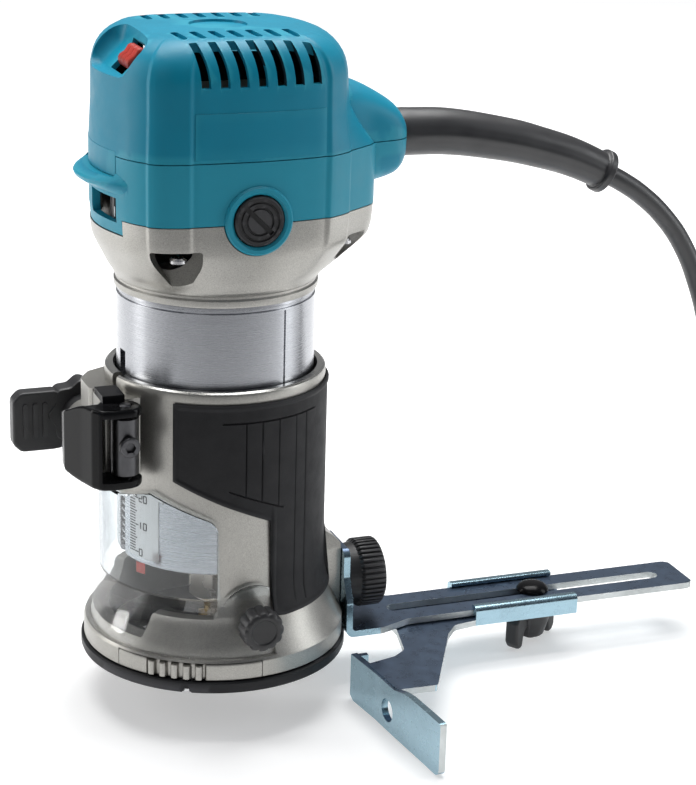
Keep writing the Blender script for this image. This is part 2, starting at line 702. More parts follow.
stages = [(0.4, 13.6, pz + 1.0, pz + 19.0), (1.4, 14.8, pz + 0.2, pz + 19.8), (6, 15.0, pz, pz + 20.0), (12, 13.9, pz, pz + 19.8),
          (16, 11.4, pz, pz + 18.6), (20, 8.6, pz, pz + 16.2), (24, 7.0, pz, pz + 14.4), (32, 6.0, pz, pz + 12.2),
          (40, 5.0, pz + 0.1, pz + 10.0), (43.7, 4.5, pz + 0.2, pz + 9.0)]
plug = loft([plug_ring(px0 + x, hy, a0, a1, 5.0) for x, hy, a0, a1 in stages])
for k in range(4):
    x = px0 + 25 + 4.2 * k
    plug = cut(plug, box(x, x + 1.5, py0 - 9, py0 - 5.4 + 0.5 * k, pz - 1, pz + 16), box(x, x + 1.5, py0 + 5.4 - 0.5 * k, py0 + 9, pz - 1, pz + 16))
plug_ob = show("plug_body", plug, "black", "motor", ["mains_plug"], bevel=0.35)
pins = []
for s in (-1, 1):
    pins.append(turned("x", (py0 + s * 9.5, pz + 10), [(0, px0 - 19), (1.5, px0 - 19), (2.2, px0 - 18), (2.4, px0 - 16.6),
                                                    (2.4, px0 + 3), (0, px0 + 3)], 32))
pin_ob = show("plug_pins", together(*pins), "brass", "motor", (), bevel=0.2)

# ================================================================ housing outlines
PLAN_LOW = [(0, 51.5), (12, 51.2), (20, 50.2), (27, 47.2), (36, 44.2), (50, 41.4), (62, 38.0),
            (75, 35.8), (90, 35.0), (105, 36.0), (120, 39.4), (133, 42.7), (146, 42.5),
            (158, 41.3), (170, 40.9), (180, 40.8)]
PLAN_HIGH = [(0, 40.4), (12, 40.6), (20, 41.0), (27, 41.6), (36, 42.0), (50, 41.0), (62, 38.0),
             (75, 35.8), (90, 35.0), (105, 35.9), (120, 39.0), (133, 42.0), (146, 41.7),
             (158, 40.5), (170, 39.9), (180, 39.8)]
POCKETS = (-125.3, 125.3, -28, 28)
POCKET_R = (37.6, 37.6, 41.4, 41.4)


def spline(tab, d):
    d = abs((d + 180.0) % 360.0 - 180.0)
    T = [(-tab[1][0], tab[1][1])] + tab + [(360 - tab[-2][0], tab[-2][1])]
    for i in range(1, len(T) - 2):
        (x0, y0), (x1, y1), (x2, y2), (x3, y3) = T[i - 1:i + 3]
        if d <= x2 + 1e-9:
            t = (d - x1) / (x2 - x1)
            m1 = (y2 - y0) / (x2 - x0) * (x2 - x1)
            m2 = (y3 - y1) / (x3 - x1) * (x2 - x1)
            return (2 * t ** 3 - 3 * t * t + 1) * y1 + (t ** 3 - 2 * t * t + t) * m1 + (3 * t * t - 2 * t ** 3) * y2 + (t ** 3 - t * t) * m2
    return tab[-1][1]


def pilaster(d):
    """The four corner columns stand a little proud, with crisp flanks."""
    a = abs((d + 180.0) % 360.0 - 180.0)
    def win(a0, a1, s):
        return smooth01((a - a0 + s) / (2 * s)) * (1 - smooth01((a - a1 + s) / (2 * s)))
    return 0.75 * win(118.2, 136.4, 0.9) + 0.75 * win(36.0, 50.2, 1.0)


ANG = []
d = 0.0
while d < 360:
    ANG.append(d)
    dd = abs((d + 180.0) % 360.0 - 180.0)
    fine = any(abs(dd - e) < 3.2 for e in (118.2, 136.4, 36.0, 50.2))
    d += 0.6 if fine else 2.0


def outline(z, low=1.0, inset=0.0, circle=None, w=1.0, pil=1.0):
    pts = []
    for d in ANG:
        r = low * spline(PLAN_LOW, d) + (1 - low) * spline(PLAN_HIGH, d)
        if circle is not None:
            r = circle + (r - circle) * w
        r += pilaster(d) * pil
        r = r * (1 - inset / 39.0)
        a = math.radians(d)
        pts.append((r * math.cos(a), r * math.sin(a), z))
    return pts


SHOULDER = 13.0
SH_Z = TOP_Z - SHOULDER


def lowmix(z):
    for (a, la), (b, lb) in (((173.0, 1.0), (180.0, 0.55)), ((180.0, 0.55), (187.0, 0.1)), ((187.0, 0.1), (SH_Z, 0.0))):
        if z <= b:
            t = max(0.0, (z - a) / (b - a))
            return la + (lb - la) * t
    return 0.0


def cap_rings(wall, crown=True):
    top = TOP_Z - wall
    rings = []
    for z in (PARTING_Z + 0.15, 175, 177, 179, 181, 183, 185, 187, 190, 194, SH_Z):
        rings.append(outline(z, lowmix(z), wall + (0.0 if wall == 0 else 0.4)))
    for t in range(9, 91, 9):
        a = math.radians(t)
        rr = SHOULDER - wall * 0.6
        k = 1.0 - smooth01(t / 95.0) * 0.25
        rings.append(outline(top - rr + rr * math.sin(a) - 0.35 * t / 90.0, 0.0, wall + 0.2 + rr * (1 - math.cos(a)), pil=k))
    if crown:
        for f in (18, 23, 28, 32, 35.5):
            rings.append(outline(top - 0.35 * (1 - (f - 13) / 24.0), 0.0, wall + f, pil=0.75 * (37 - f) / 24.0))
    return rings


BOSS = [(31.0, 20.0, 156.5, 193.5), (41.0, 17.5, 157.5, 192.5), (47.0, 15.6, 158.2, 190.8),
        (53.5, 14.3, 159.4, 187.4), (58.0, 13.0, 160.8, 184.3), (60.4, 11.0, 162.6, 181.4),
        (61.4, 9.6, 164.0, 179.8)]


def boss_half(upper):
    zp = PARTING_Z + (0.15 if upper else -0.15)
    base = catmull([(x, hy, zb) for x, hy, zb, zt in BOSS], 3)
    tops = catmull([(x, hy, zt) for x, hy, zb, zt in BOSS], 3)
    rings = []
    for p, q in zip(base, tops):
        x, hy, zb, zt = p[0], p[1], p[2], q[2]
        h = (zt - zp) if upper else (zp - zb)
        row = []
        for i in range(25):
            t = math.pi * i / 24
            c, s = math.cos(t), math.sin(t)
            e = 2.0 / 3.0
            row.append((x, hy * math.copysign(abs(c) ** e, c), zp + (h if upper else -h) * abs(s) ** e))
        rings.append(row)
    return loft(rings)


def bib(z0, z1, grow):
    """Wedge of wall round the -X corner where the upper shell reaches down to the visor."""
    w = loft([outline(z1, 1.0, -2.0 * grow), outline(z0, 1.0, -2.0 * grow), outline(z0, 1.0, 2.6), outline(z1, 1.0, 2.6)], cyclic=True)
    poly = [(-70, -24.0), (-30, -15.0), (-30, 15.0), (-70, 24.0)]
    return both(w, prism(poly, "z", z0 - 1, z1 + 1))


def upper_shell():
    bm = loft(cap_rings(0.0)[::-1] + cap_rings(2.4, True))
    bm = join(bm, boss_half(True))
    # skirt at the -X end, down to the visor
    bm = join(bm, bib(167.3, 175.0, 0.0))
    def scoop_body(g):
        rings = []
        ends = [(-23.0, 4.2), (-22.7, 3.0), (-22.0, 1.9), (-20.9, 0.9), (-19.6, 0.3), (-18.0, 0.0), (-8.0, 0.0), (4.5, 0.0),
                (6.1, 0.3), (7.4, 0.9), (8.5, 1.9), (9.2, 3.0), (9.5, 4.2)]
        for y, e in ends:
            yy = y + (g if y > -7 else -g)
            pts = rounded([(-50, 197.9 + e - g), (-36.3 - 0.5 * e + 0.4 * g, 197.9 + e - g), (-28.9 - e + g, 205.2 + 0.5 * e - 0.4 * g), (-26.6 - e + g, 214),
                           (-29 - e + g, 222), (-50, 222)], [0, 3.0, 4.0, 2.5, 0, 0], 6)
            rings.append([(x, yy, z) for x, z in pts])
        return loft(rings)
    bm = join(bm, both(scoop_body(1.7), loft(cap_rings(0.25))))
    scoop = scoop_body(0.0)
    bm = cut(bm, box(30, 46, -11.5, 11.5, 165, 185), disc("x", (0, CORD_AXIS_Z), 8.35, 44, 67, 48), scoop)
    op = prism([(-38.6, 201.9), (-32.5, 195.6), (-24.4, 203.8), (-30.5, 210.0)], "y", -16.8, -3.2)
    bm = cut(bm, op)
    slots = []
    for i in range(7):
        x = -17.2 + 6.0 * i
        for s in (-1, 1):
            rings = []
            for k in range(9):
                z = 196.4 + (213.0 - 196.4) * k / 8.0
                t = k / 8.0
                sx = x + 3.2 - 3.9 * t ** 1.9
                hw = 1.5 - 0.35 * t ** 2
                y0 = 27.2
                rings.append([(sx - hw, s * y0, z), (sx + hw, s * y0, z), (sx + hw, s * 46, z), (sx - hw, s * 46, z)])
            slots.append(loft(rings))
            # shallow flute on the crown that carries the slot inwards
            for yy0, yy1, dx in ((13.5, 24.8, -1.4),):
                fl = rounded([(x + dx - 1.3, s * yy0), (x + dx + 1.3, s * yy0), (x + dx + 0.4 + 1.3, s * yy1), (x + dx + 0.4 - 1.3, s * yy1)], 1.1, 4)
                slots.append(prism(fl, "z", TOP_Z - 1.5, TOP_Z + 3))
    slots.append(lathe([(0, TOP_Z - 0.9), (9.2, TOP_Z - 0.9), (9.8, TOP_Z + 2), (0, TOP_Z + 2)], 64))
    bm = cut(bm, *slots)
    return bm


def inward(f):
    """1 on faces that look into the shell."""
    c = f.calc_center_median()
    d = Vector((c.x, c.y, (c.z - 172.0) * 1.0))
    r = math.hypot(c.x, c.y)
    wall = c.z < TOP_Z - 2.2 and f.normal.dot(d.normalized()) < -0.25
    if c.x > 30 and r > 33 and c.x < 46 and abs(c.y) < 12:
        return 1 if wall else 0
    lim = spline(PLAN_HIGH, math.degrees(math.atan2(c.y, c.x))) - 1.6
    return 1 if wall and (r < lim or c.z < SH_Z) and c.x > -27 else 0


show("upper_shell", upper_shell(), ["teal", "teal_in"], "motor", ["upper_housing"], bevel=0.4, pick=inward, sharp=30)
# smooth name plate area on both cheeks, without any mark
for s, tag in ((-1, "front"), (1, "rear")):
    def plate(d, s=s):
        r = [spline(PLAN_LOW, d) * lowmix(z) + spline(PLAN_HIGH, d) * (1 - lowmix(z)) for z in (174.6, 180.0, 185.0, 188.9)]
        zz = (174.6, 180.0, 185.0, 188.9)
        return [(rr + 0.16, z) for rr, z in zip(r, zz)] + [(rr - 0.4, z) for rr, z in list(zip(r, zz))[::-1]]
    show("plain_plate_" + tag, strip([s * q for q in frange(116.8, 51.4, 40)], plate), "teal", "motor", (), bevel=0.08, segs=1)


def lower_shell():
    zt, zb = PARTING_Z - 0.15, CASTING_TOP + 0.3
    bm = loft([outline(zt, 1.0, 0.0), outline(zb, 1.0, 0.1), outline(zb, 1.0, 2.6), outline(zt, 1.0, 2.5)], cyclic=True)
    bm = join(bm, boss_half(False))
    tab = loft([outline(155.0, 1.0, 0.1), outline(149.1, 1.0, 0.6), outline(149.1, 1.0, 3.0), outline(155.0, 1.0, 2.6)], cyclic=True)
    bm = join(bm, both(tab, box(-50, -26, -19.8, 19.8, 140, 156)))
    # visor over the dial window: a swept fin, thick at its root
    rings = []
    for t in frange(-1, 1, 36):
        y = 27.5 * t
        xw = -math.sqrt(40.9 ** 2 - y * y)
        pr = 5.4 * (1.0 - abs(t) ** 2.4) + 0.03
        zz = 165.0
        h = 2.6 + 1.5 * abs(t) ** 2.0
        pts = [(xw + 1.9, zz - h - 0.9), (xw + 1.9, zz + h + 1.2), (xw - pr * 0.06, zz + h + 0.5), (xw - pr * 0.50, zz + h * 0.50 + 0.5),
               (xw - pr * 0.90, zz + 0.95), (xw - pr, zz + 0.2), (xw - pr * 0.92, zz - 0.9), (xw - pr * 0.5, zz - 1.6 - 0.3 * h), (xw - pr * 0.06, zz - h - 0.4)]
        rings.append([(x, y, z) for x, z in pts])
    fin = loft(rings)
    bm = join(bm, fin)
    for s in (-1, 1):
        bm = join(bm, turned("y", (CAP_X, 155.0), [(8.35, s * 29.5), (11.0, s * 29.5), (11.0, s * 35.2), (10.4, s * 35.9), (9.2, s * 35.9), (8.35, s * 35.2)], 72))
        bm = cut(bm, disc("y", (CAP_X, 155.0), 8.35, s * 24, s * 40, 72))
    wedge = prism([(-70, -24.3), (-29, -15.2), (-29, 15.2), (-70, 24.3)], "z", 167.05, 180)
    bm = cut(bm, box(30, 46, -11.5, 11.5, 161.5, 185), disc("x", (0, CORD_AXIS_Z), 8.35, 44, 67, 48),
             box(-46, -28, -17, 1.5, 152.6, 160.4), wedge)
    return bm


show("lower_shell", lower_shell(), ["teal"], "motor", ["lower_housing"], bevel=0.35, sharp=30)

# dark baffles that close the view into the shells behind the vents and the dial window
def liner(z0, z1, low):
    return loft([outline(z0, low, 3.6, pil=0), outline(z1, low, 3.6, pil=0), outline(z1, low, 4.6, pil=0), outline(z0, low, 4.6, pil=0)], cyclic=True)


def casting():
    stages = [(CASTING_TOP, 1.0), (150.5, 0.985), (147.0, 0.96), (144.0, 0.90), (141.5, 0.76), (138.2, 0.54),
              (134.8, 0.31), (132.8, 0.14), (131.4, 0.04)]
    dense = catmull([(w, 0, z) for z, w in stages], 4)
    rings = []
    for p in dense:
        rings.append(outline(p.z, 1.0, 0.15, COLLAR_R, p.x, pil=smooth01((p.z - 139.0) / 6.5)))
    def circ(r, z):
        return [(r * math.cos(math.radians(q)), r * math.sin(math.radians(q)), z) for q in ANG]
    rings += [circ(33.25, 130.9), circ(32.75, 130.3), circ(32.75, 129.6), circ(33.3, 129.0), circ(33.3, 127.4), circ(33.05, 126.9),
              circ(32.0, 126.8), circ(29.0, 126.8), circ(28.8, 131.0)]
    for z, w in stages[::-1][1:]:
        rings.append([(x * 0.915, y * 0.915, zz) for x, y, zz in outline(z, 1.0, 0.2, COLLAR_R, w, pil=0)])
    bm = loft(rings, cyclic=True)
    tools = []
    for s in (-1, 1):
        tools.append(disc("y", (CAP_X, 155.0), 11.3, s * 24, s * 44, 72))
    tools.append(box(-50, -22, -20.2, 20.2, 148.8, 156))
    for d in POCKETS:
        w = 7.8 if abs(d) > 90 else 4.6
        pk = rounded([(-w, 145.9), (w, 145.9), (w * 0.96, 141.0), (1.4, 131.2), (-1.4, 131.2), (-w * 0.96, 141.0)], [0.9, 0.9, 9, 1.2, 1.2, 9], 6)
        pk = prism(pk, "x", 35.0 if abs(d) > 90 else 39.0, 54.0)
        pk.transform(Matrix.Rotation(math.radians(d), 4, "Z"))
        tools.append(pk)
    return cut(bm, *tools)


def pocket_face(f):
    c = f.calc_center_median()
    d = math.degrees(math.atan2(c.y, c.x))
    for q in POCKETS:
        if abs((d - q + 180) % 360 - 180) < 12 and 131 < c.z < 143.9:
            out = Vector((math.cos(math.radians(q)), math.sin(math.radians(q)), 0))
            if min(abs(c.dot(out) - 35.0), abs(c.dot(out) - 39.0)) < 0.6 and f.normal.dot(out) > 0.9:
                return 1
    return 0


show("gear_casting", casting(), ["cast", "cast_dark"], "motor", ["motor_housing"], bevel=0.35, pick=pocket_face, sharp=30)
barrel = lathe([(32.45, 126.7), (31.9, 126.8), (29, 126.8), (29, 43.5), (14.2, 43.5), (14.2, 52.0), (11.3, 52.0), (11.3, 42.0), (8.6, 42.0),
                (8.6, BARREL_Z0), (31.3, BARREL_Z0), (32.1, BARREL_Z0 + 0.4), (BARREL_R, BARREL_Z0 + 1.2), (BARREL_R, 100.0), (BARREL_R, 124.6),
                (BARREL_R - 0.5, 124.8), (BARREL_R - 0.5, 125.6), (BARREL_R, 125.8)], 180)
tools = [box(-36, -29.2, -5.5, -0.9, 36, 107)]
for i in range(6):
    a = math.radians(30 + 60 * i)
    tools.append(disc("z", (21.3 * math.cos(a), 21.3 * math.sin(a)), 4.0, 35, 45, 24))
a = math.radians(-67.5)
key = box(31.9, 34, -0.35, 0.35, 45, 124)
key.transform(Matrix.Rotation(math.radians(-64.5), 4, "Z"))
tools.append(key)
show("turned_barrel", cut(barrel, *tools), ["turned"], "motor", (), bevel=0.25, sharp=30)

# ================================================================ brush caps, screws, switch, dial
for s, tag in ((-1, "front"), (1, "rear")):
    prof = [(0, s * 28.2), (6.5, s * 28.2), (6.5, s * 30.5), (8.0, s * 30.5), (8.0, s * 35.6), (7.4, s * 36.2), (6.5, s * 36.2),
            (6.3, s * 35.7), (5.9, s * 35.7), (5.7, s * 36.1), (4.6, s * 36.1), (4.4, s * 35.6), (4.0, s * 35.6), (3.8, s * 36.0), (0, s * 36.0)]
    e0, e1 = min(s * 35.0, s * 37.0), max(s * 35.0, s * 37.0)
    sl = box(-5.9, 5.9, e0, e1, -0.8, 0.8)
    sl.transform(Matrix.Translation((CAP_X, 0, 155)) @ Matrix.Rotation(math.radians(-45 * s), 4, "Y"))
    show("brush_cap_detail_" + tag, cut(turned("y", (CAP_X, 155.0), prof, 72), sl), "black", "motor", ["brush_cap_" + tag],
         bevel=0.15)
for k, d in enumerate(POCKETS):
    a = math.radians(d)
    c = (POCKET_R[k] * math.cos(a), POCKET_R[k] * math.sin(a))
    head = lathe([(0, 141.9), (1.2, 141.9), (1.5, 142.3), (2.6, 142.3), (2.6, 143.2), (2.1, 143.9), (0, 144.0)], 32, c)
    show("corner_screw_%d" % (k + 1), head, "steel", "motor", ["housing_screw_%d" % (k + 1)])

c45 = math.sqrt(0.5)
ROCKER = (-30.6, -10.0, 203.2)


def rocker():
    rings = []
    for k in range(61):
        y = -6.0 + 12.0 * k / 60
        # three rounded ridges across the width
        t = abs(math.sin(math.pi * (k / 60.0) * 3.0)) ** 0.55
        h = 0.95 + 0.95 * t
        if k in (0, 60):
            h = 0.4
        prof = [(-7.3, -0.8), (-6.6, 0.35 * h), (-5.4, 0.85 * h), (-3.6, 1.05 * h), (0.0, 0.80 * h), (3.6, 1.05 * h), (5.4, 0.85 * h), (6.6, 0.35 * h),
                (7.3, -0.8), (5.6, -3.4), (-5.6, -3.4)]
        rings.append([(ROCKER[0] + (-v + u * 0.55) * c45, ROCKER[1] + y, ROCKER[2] + (v + u * 0.55) * c45) for u, v in prof])
    return loft(rings)


show("rocker_cap", rocker(), "red", "rocker", ["power_rocker"], sharp=50)
DIAL = (-27.2, -9.5)
dl = lathe([(0, 152.4), (9.6, 152.4), (10.0, 152.8), (10.0, 159.6), (9.6, 160.0), (2.0, 160.0), (2.0, 161.5), (0, 161.5)], 144, DIAL,
           wob=lambda r, z, d: (-0.45 if (d % 15.0) < 5.0 and r > 9.0 else 0.0))
show("dial_wheel", dl, "black", "dial", ["speed_dial"], sharp=25)
marks = []
for k in range(6):
    mk = box(9.95, 10.06, -0.25, 0.25, 153.4, 156.2 + 0.4 * k)
    mk.transform(Matrix.Translation((DIAL[0], DIAL[1], 0)) @ Matrix.Rotation(math.radians(140 + 45 * k + 9.5), 4, "Z"))
    marks.append(mk)
show("dial_ticks", together(*marks), "white", "dial", ())

# ================================================================ base
SOLE_SCREWS = (-118, 118, -40, 40)


def win(d):
    a = abs(d) if abs(d) <= 180 else 360 - abs(d)
    zt = 56.0 + (64.0 - 56.0) * min(1, max(0, (a - 106) / 34.0)) if a < 140 else max(60.5, 64.0 - 3.5 * (a - 140) / 21)
    if a < 110:
        zt -= 3.2 * (1.0 - math.sqrt(max(0.0, 1.0 - ((110.0 - a) / 5.0) ** 2)))
    zb = 15.0 + 8.3 * (1.0 - smooth01((a - 138.0) / 4.5)) + 1.2 * (1.0 - smooth01((a - 105) / 2.0))
    return [(30, zb), (48, zb), (48, zt), (30, zt)]


def base():
    oprof = [(p.x, p.z) for p in catmull([(44.0, 0, 10.2), (43.0, 0, 12.2), (41.6, 0, 14.8), (40.2, 0, 17.5), (38.8, 0, 20.8), (37.6, 0, 24.5), (36.7, 0, 27.4),
                                         (SLEEVE_R, 0, 30.5)], 3)]
    outer = [(0, 4.4), (43.7, 4.4), (44.0, 4.7), (44.0, 9.9)] + oprof + [
        (SLEEVE_R, 96.4), (SLEEVE_R + 0.15, 96.8), (SLEEVE_R + 0.15, SLEEVE_TOP - 1.3), (SLEEVE_R - 0.1, SLEEVE_TOP - 0.5),
        (SLEEVE_R - 0.8, SLEEVE_TOP), (0, SLEEVE_TOP)]
    bm = lathe(outer, 180)
    near = prism(rounded([(-28, -19.2), (-42.3, -19.2), (-43.6, -17.5), (-43.6, -8.1), (-28, -8.1)], [0, 1, 1, 1, 0]), "z", 70.0, 95.5)
    far = prism(rounded([(-28, -4.5), (-42.4, -4.5), (-43.6, -3.0), (-43.6, 8.0), (-39.5, 14.5), (-26.0, 22.0)], [0, 1, 1, 3, 3, 0]), "z", 61.0, 95.0)
    axle = disc("y", KNOB_AXIS, 8.0, 2.0, 31.0, 48)
    boss = loft([[(30, -9.5, 8), (FLAT_X + 2, -7.8, 8), (FLAT_X + 2, 7.8, 8), (30, 9.5, 8)],
                 [(30, -9.5, 31), (FLAT_X + 2, -7.8, 31), (FLAT_X + 2, 7.8, 31), (30, 9.5, 31)],
                 [(30, -8.9, 36), (40.2, -7.5, 36), (40.2, 7.5, 36), (30, 8.9, 36)],
                 [(30, -8.5, 38.5), (36.3, -7.3, 38.5), (36.3, 7.3, 38.5), (30, 8.5, 38.5)]])
    bm = join(bm, near, far, axle, boss)
    for s in (-1, 1):
        bm = join(bm, disc("y", (SCREW_X, 23.0), 6.0, s * 33.5, s * 36.9, 48))
    bore = lathe([(0, 2), (36.0, 2), (36.0, 12.0), (34.8, 20.0), (SLEEVE_BORE, 29.0), (SLEEVE_BORE, 99.0), (SLEEVE_BORE + 1.1, 101), (0, 101)], 180)
    tools = [bore]
    half = [105, 105.15, 105.4, 105.8, 106.3, 107.0, 108.0, 109.0, 110.0] + frange(112, 137.5, 12) + frange(138, 143, 8) + frange(145, 178, 14)
    tools.append(strip([-d for d in half] + [-180] + [-360 + d for d in half[::-1]], win))
    for s in (-1, 1):
        tools.append(disc("y", (SCREW_X, 23.0), 2.4, s * 30, s * 40, 24))
        tools.append(strip([s * d for d in frange(78.5, 181, 50)],
                           lambda d: [(37.0, 65.0), (37.0, 29.0), (38.5, 20.0), (40.9, 15.0), (41.7, 11.2), (46, 11.2), (46, 65.0)] if abs(d) < 152 else
                           [(37.0, 61.8), (37.0, 29.0), (38.5, 20.0), (40.9, 15.0), (41.7, 11.2), (46, 11.2), (46, 61.8)]))
    tools.append(box(-50, -30, -7.8, -4.8, 55.0, 102))
    tools.append(disc("y", KNOB_AXIS, 5.9, -8.5, -0.9, 32))
    tools.append(disc("y", KNOB_AXIS, 3.3, -2.0, 33.0, 24))
    tools.append(disc("y", (BOLT_X, BOLT_Z), 2.8, -20.5, 13.0, 24))
    tools.append(box(FLAT_X, 60, -30, 30, 0, 60))
    tools.append(disc("x", (0, 18.0), 3.3, 35.6, 46, 24))
    tools.append(strip(frange(-151.9, -85.5, 34), lambda d: [(39.2, 3), (47, 3), (47, 10.4), (39.2, 10.4)]))
    for d in SOLE_SCREWS:
        if d != -118:
            a = math.radians(d)
            tools.append(disc("z", (40.0 * math.cos(a), 40.0 * math.sin(a)), 2.0, 3, 10.5, 16))
    return cut(bm, *tools)


def base_face(f):
    c = f.calc_center_median()
    r = math.hypot(c.x, c.y)
    n = f.normal
    if c.z > SLEEVE_TOP - 0.9 and r < 37:
        return 1
    radial = (c.x * n.x + c.y * n.y) / max(r, 1e-6)
    if r < SLEEVE_BORE + 1.2 and radial < -0.8:
        return 1
    return 0


show("base_casting", base(), ["cast", "machined"], "base", ["base_sleeve"], bevel=0.4, pick=base_face, sharp=30)

sole = lathe([(SOLE_HOLE + 0.4, 0), (SOLE_R - 1.0, 0), (SOLE_R - 0.3, 0.3), (SOLE_R, 1.0), (SOLE_R, SOLE_T - 0.4), (SOLE_R - 0.4, SOLE_T),
              (SOLE_HOLE + 0.3, SOLE_T), (SOLE_HOLE, SOLE_T - 0.3), (SOLE_HOLE, 0.4)], 180)
st = [box(FLAT_X, 60, -30, 30, -1, 6)]
for d in SOLE_SCREWS:
    rr = 41.5 if d == -118 else 40.0
    a = math.radians(d)
    c = (rr * math.cos(a), rr * math.sin(a))
    st += [disc("z", c, 2.1, -1, 5, 24), disc("z", c, 3.6, -1, 1.9, 32)]
show("sole_disc", cut(sole, *st), "sole", "base", ["sole_plate"], bevel=0.25, sharp=30)


def shoe():
    def sec(d):
        r = 44.0 - 1.1 * smooth01((d + 136.8) / 0.7) * (1.0 - smooth01((d + 110.6) / 0.7))
        rib = 0.0
        for k in range(5):
            q = -134.3 + 5.3 * k
            t = (d - q) / 1.7
            if abs(t) < 1:
                rib = max(rib, 1.75 * math.sqrt(math.sqrt(1 - t * t)))
        return [(39.5, 4.3), (r - 0.3, 4.3), (r + rib, 4.8), (r + rib, 9.3), (r - 0.3, 10.0), (39.5, 10.0)]
    bm = strip(frange(-151.6, -85.8, 260), sec)
    a = math.radians(-118)
    return cut(bm, disc("z", (41.5 * math.cos(a), 41.5 * math.sin(a)), 1.85, 3, 9.0, 24))


show("front_shoe_detail", shoe(), "cast", "base", ["front_shoe"], bevel=0.12, segs=1, sharp=40)
for k, d in enumerate(SOLE_SCREWS):
    rr = 41.5 if d == -118 else 40.0
    a = math.radians(d)
    c = (rr * math.cos(a), rr * math.sin(a))
    q = 1.6 if d != -118 else 1.45
    sc = lathe([(0, 0.7), (0.6, 0.35), (3.0, 0.35), (3.2, 0.6), (3.2, 1.6), (q, 1.6), (q, 8.5), (0, 8.5)], 32, c)
    cr = [box(c[0] - 1.8, c[0] + 1.8, c[1] - 0.35, c[1] + 0.35, -1, 1.2), box(c[0] - 0.35, c[0] + 0.35, c[1] - 1.8, c[1] + 1.8, -1, 1.2)]
    show("sole_screw_detail_%d" % (k + 1), cut(sc, *cr), "steel", "base", ["sole_screw_%d" % (k + 1)])

# ---------------------------------------------------------------- grip with a raised rim and stepped flutes
FL = (-91.4, -82.8, -73.3, -62.4, -54.6)


def grip_low(a):
    if a <= 18.5:
        return 40.0
    if a <= 76.0:
        return 22.3 + 0.6 * smooth01((a - 70) / 6.0)
    if a <= 78.0:
        return 22.9 + (55.6 - 22.9) * smooth01((a - 76) / 2.0)
    if a <= 103:
        return 55.6 + (62.5 - 55.6) * (a - 78) / 25
    return 62.5 + (70.0 - 62.5) * (a - 103) / 25.5


def grip_side(sgn):
    """One half of the sleeve as a grid over angle and height, closed at the back."""
    angs = sorted(set([round(q, 3) for q in frange(6.0, 18.0, 6) + [18.4, 18.8] + frange(20, 70, 40) + frange(71, 76, 6) +
                       [76.3, 76.6, 77.0, 77.4, 77.7, 78.0] + frange(79, 128, 70) + [abs(q) + e for q in FL for e in (-0.7, -0.35, 0.0, 0.35)]]))
    front, back = [], []
    for a in angs:
        lo, hi = grip_low(a), 96.0
        ra = math.radians(sgn * a)
        fr, bk = [], []
        zl = max(67.2 - (99.8 - max(a, 70.9)) * 0.26, lo + 4.0)
        zs = [lo + q for q in (0.0, 0.5, 1.2, 1.55, 1.9, 2.3)] + frange(lo + 2.8, zl - 0.8, 8) + [zl - 0.4, zl - 0.12, zl + 0.12, zl + 0.4]
        zs += frange(zl + 1.2, 89.0, 12) + [89.6, 89.88, 90.12, 90.4, 91.4, 92.6] + [hi - q for q in (2.3, 1.9, 1.55, 1.2, 0.5, 0.0)]
        for z in zs:
            base_r = SLEEVE_R + 0.3
            out = GRIP_R
            if z < 31:
                out = GRIP_R + (39.6 - GRIP_R) * ((31 - z) / 9.0) ** 1.2
                base_r = max(base_r, out - 0.95)
            # distance to the nearest border of the pad, in mm
            eb = min((z - lo), (hi - z), (a - 6.0) * 0.65 + 3.0, (128.0 - a) * 0.65)
            if 77.0 < a:
                pass
            elif a > 70 and z < 57:
                eb = min(eb, (77.0 - a) * 0.65)
            rim = smooth01((1.9 - eb) / 0.7)
            rr = out - 0.42 * (1 - rim)
            # rounded outer edge
            if eb < 0.5:
                rr -= (0.5 - eb) * 0.7
            # stepped flutes on the cheek
            if eb > 1.9:
                ztop = 90.2
                for k, q in enumerate(FL):
                    t = abs(q) - a
                    zb = (zl - 0.2, zl - 0.2, zl - 0.2, 26.0, 25.0)[k]
                    if -0.1 < t < 0.75 and zb < z < ztop:
                        rr -= 0.55 * (1 - t / 0.75)
                # thin lines that close the flutes above and below
                if 47.0 < a < 103.5 and abs(z - 90.0) < 0.2:
                    rr = min(rr, out - 0.42 - 0.5)
                if 70.5 < a < 100.0 and abs(z - zl) < 0.2:
                    rr = min(rr, out - 0.42 - 0.5)
            bk.append((base_r * math.cos(ra), base_r * math.sin(ra), z))
            fr.append((rr * math.cos(ra), rr * math.sin(ra), z))
        front.append(fr)
        back.append(bk)
    rings = [fr + bk[::-1] for fr, bk in zip(front, back)]
    return loft(rings)


parts = [grip_side(-1), grip_side(1)]
bridge = strip(frange(-6.3, 6.3, 8), lambda d: [(SLEEVE_R + 0.3, 40.0), (GRIP_R - 0.3, 40.0), (GRIP_R, 40.4), (GRIP_R, 95.6), (GRIP_R - 0.3, 96.0),
                                              (SLEEVE_R + 0.3, 96.0)])
show("grip_sleeve", together(parts[0], parts[1], bridge), "grip", "base", ["grip_pad"], sharp=38, fix=False)

